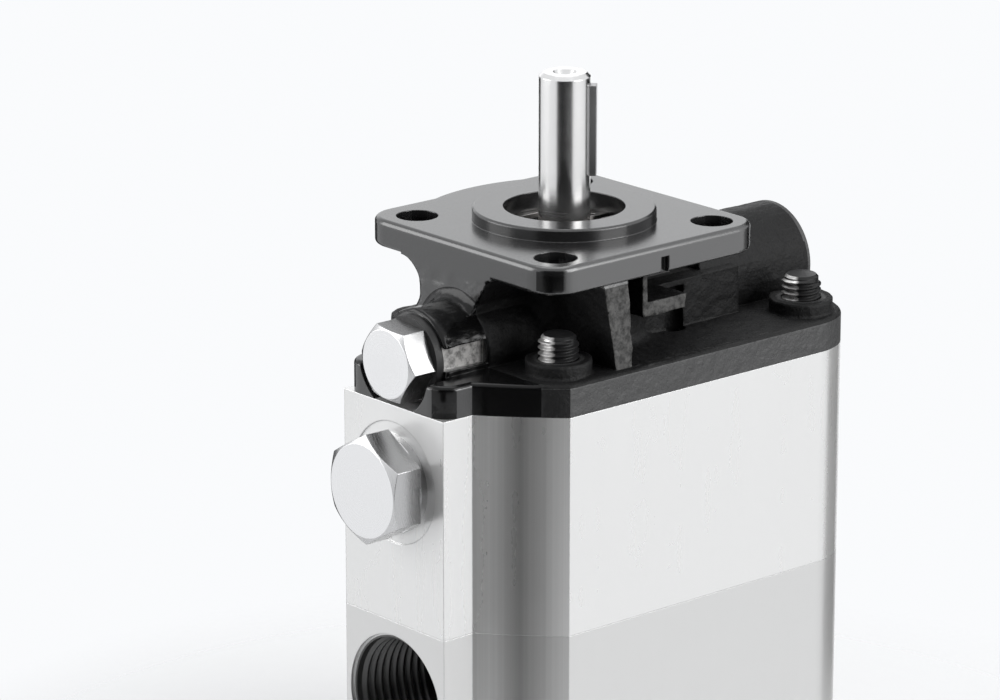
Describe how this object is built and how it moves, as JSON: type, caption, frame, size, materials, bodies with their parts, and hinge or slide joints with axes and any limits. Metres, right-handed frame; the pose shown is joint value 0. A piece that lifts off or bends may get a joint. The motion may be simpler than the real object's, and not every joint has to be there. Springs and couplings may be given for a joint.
{
  "type": "gear pump",
  "caption": "Two-stage hydraulic gear pump with a square four-bolt flange, keyed shaft, cast cover, aluminium housings and hexagon valve plugs.",
  "frame": {"origin": "centre of the round pilot, on the flange's mounting face", "axes": "+Z out along the drive shaft, -Y the side of the valve plugs and the inlet, +Y the side of the driven gears and the outlet"},
  "size_m": [0.0741, 0.1356, 0.197],
  "materials": {
    "cast_cover": "satin",
    "bright_aluminium": "satin",
    "grey_aluminium": "satin",
    "block_aluminium": "satin",
    "bush_bronze": "satin",
    "ground_steel": "polished",
    "key_steel": "satin",
    "spring_steel": "satin",
    "zinc_plate": "bright zinc",
    "black_rubber": "matte"
  },
  "bodies": {
    "housing": {"front_cover": "cast_cover", "first_body": "bright_aluminium", "second_body": "grey_aluminium", "rear_cover": "cast_cover", "first_front_bearing_block": "block_aluminium", "first_rear_bearing_block": "block_aluminium", "second_front_bearing_block": "block_aluminium", "second_rear_bearing_block": "block_aluminium", "first_front_bushes": "bush_bronze", "first_rear_bushes": "bush_bronze", "second_front_bushes": "bush_bronze", "second_rear_bushes": "bush_bronze", "shaft_seal": "black_rubber", "seal_retaining_ring": "spring_steel", "front_joint_seal": "black_rubber", "middle_joint_seal": "black_rubber", "rear_joint_seal": "black_rubber", "passage_seals": "black_rubber", "check_valve_plug": "zinc_plate", "check_valve_washer": "black_rubber", "check_valve_spring": "spring_steel", "unloading_valve_plug": "zinc_plate", "unloading_valve_washer": "zinc_plate", "unloading_valve_spring": "spring_steel", "through_bolts": "zinc_plate", "bolt_washers": "zinc_plate", "dowel_pins": "ground_steel"},
    "drive_line": {"drive_gear_shaft": "ground_steel", "shaft_key": "key_steel", "second_drive_gear": "ground_steel"},
    "first_driven": {"driven_gear_shaft": "ground_steel"},
    "second_driven": {"second_driven_gear": "ground_steel"},
    "check_poppet": {"check_valve_poppet": "ground_steel"},
    "unloading_spool": {"unloading_valve_spool": "ground_steel"}
  },
  "joints": [
    {"name": "drive_spin", "type": "hinge", "parent": "housing", "child": "drive_line", "pos_m": [0, 0, 0], "axis": [0, 0, 1], "continuous": true},
    {"name": "first_driven_spin", "type": "hinge", "parent": "housing", "child": "first_driven", "pos_m": [0, 0.036, 0], "axis": [0, 0, 1], "continuous": true},
    {"name": "second_driven_spin", "type": "hinge", "parent": "housing", "child": "second_driven", "pos_m": [0, 0.036, 0], "axis": [0, 0, 1], "continuous": true},
    {"name": "check_poppet_slide", "type": "slide", "parent": "housing", "child": "check_poppet", "axis": [0, -1, 0], "range_m": [0, 0.003], "stiffness_N_per_m": 400, "springref_m": -0.004, "deforming": ["check_valve_spring"]},
    {"name": "unloading_spool_slide", "type": "slide", "parent": "housing", "child": "unloading_spool", "axis": [0, -1, 0], "range_m": [0, 0.004], "stiffness_N_per_m": 1500, "springref_m": -0.006, "deforming": ["unloading_valve_spring"]}
  ],
  "couplings": [
    {"joint": "first_driven_spin", "follows": "drive_spin", "ratio": -1},
    {"joint": "second_driven_spin", "follows": "drive_spin", "ratio": -1}
  ]
}
